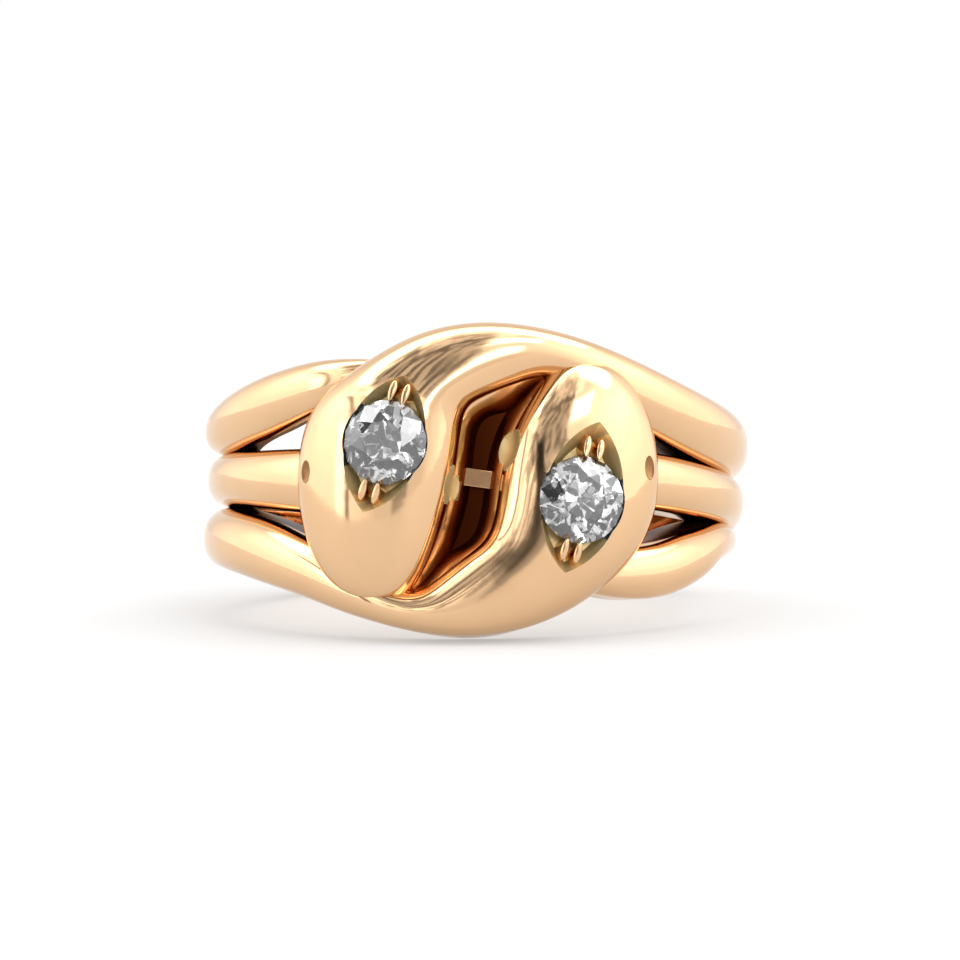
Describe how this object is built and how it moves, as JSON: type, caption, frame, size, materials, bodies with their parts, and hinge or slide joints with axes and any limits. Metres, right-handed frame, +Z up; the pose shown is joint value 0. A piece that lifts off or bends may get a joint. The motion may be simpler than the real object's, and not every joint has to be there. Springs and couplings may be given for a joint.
{
  "type": "snake ring",
  "caption": "Finger ring of coiled snakes with broad heads side by side, each holding a round old-cut diamond in an eye-shaped pocket.",
  "frame": {"origin": "on the surface that the ring lies on, under the middle of its box", "axes": "+Z up; the ring lies on its side, its heads towards -Y, its back towards +Y and the first snake's head on the -X side"},
  "size_m": [0.0216, 0.0224, 0.012],
  "materials": {
    "rose_gold": "polished rose gold, worn soft",
    "diamond": "clear, faceted"
  },
  "bodies": {
    "root": {"snake_band": "rose_gold", "left_diamond": "diamond", "right_diamond": "diamond"}
  },
  "joints": []
}
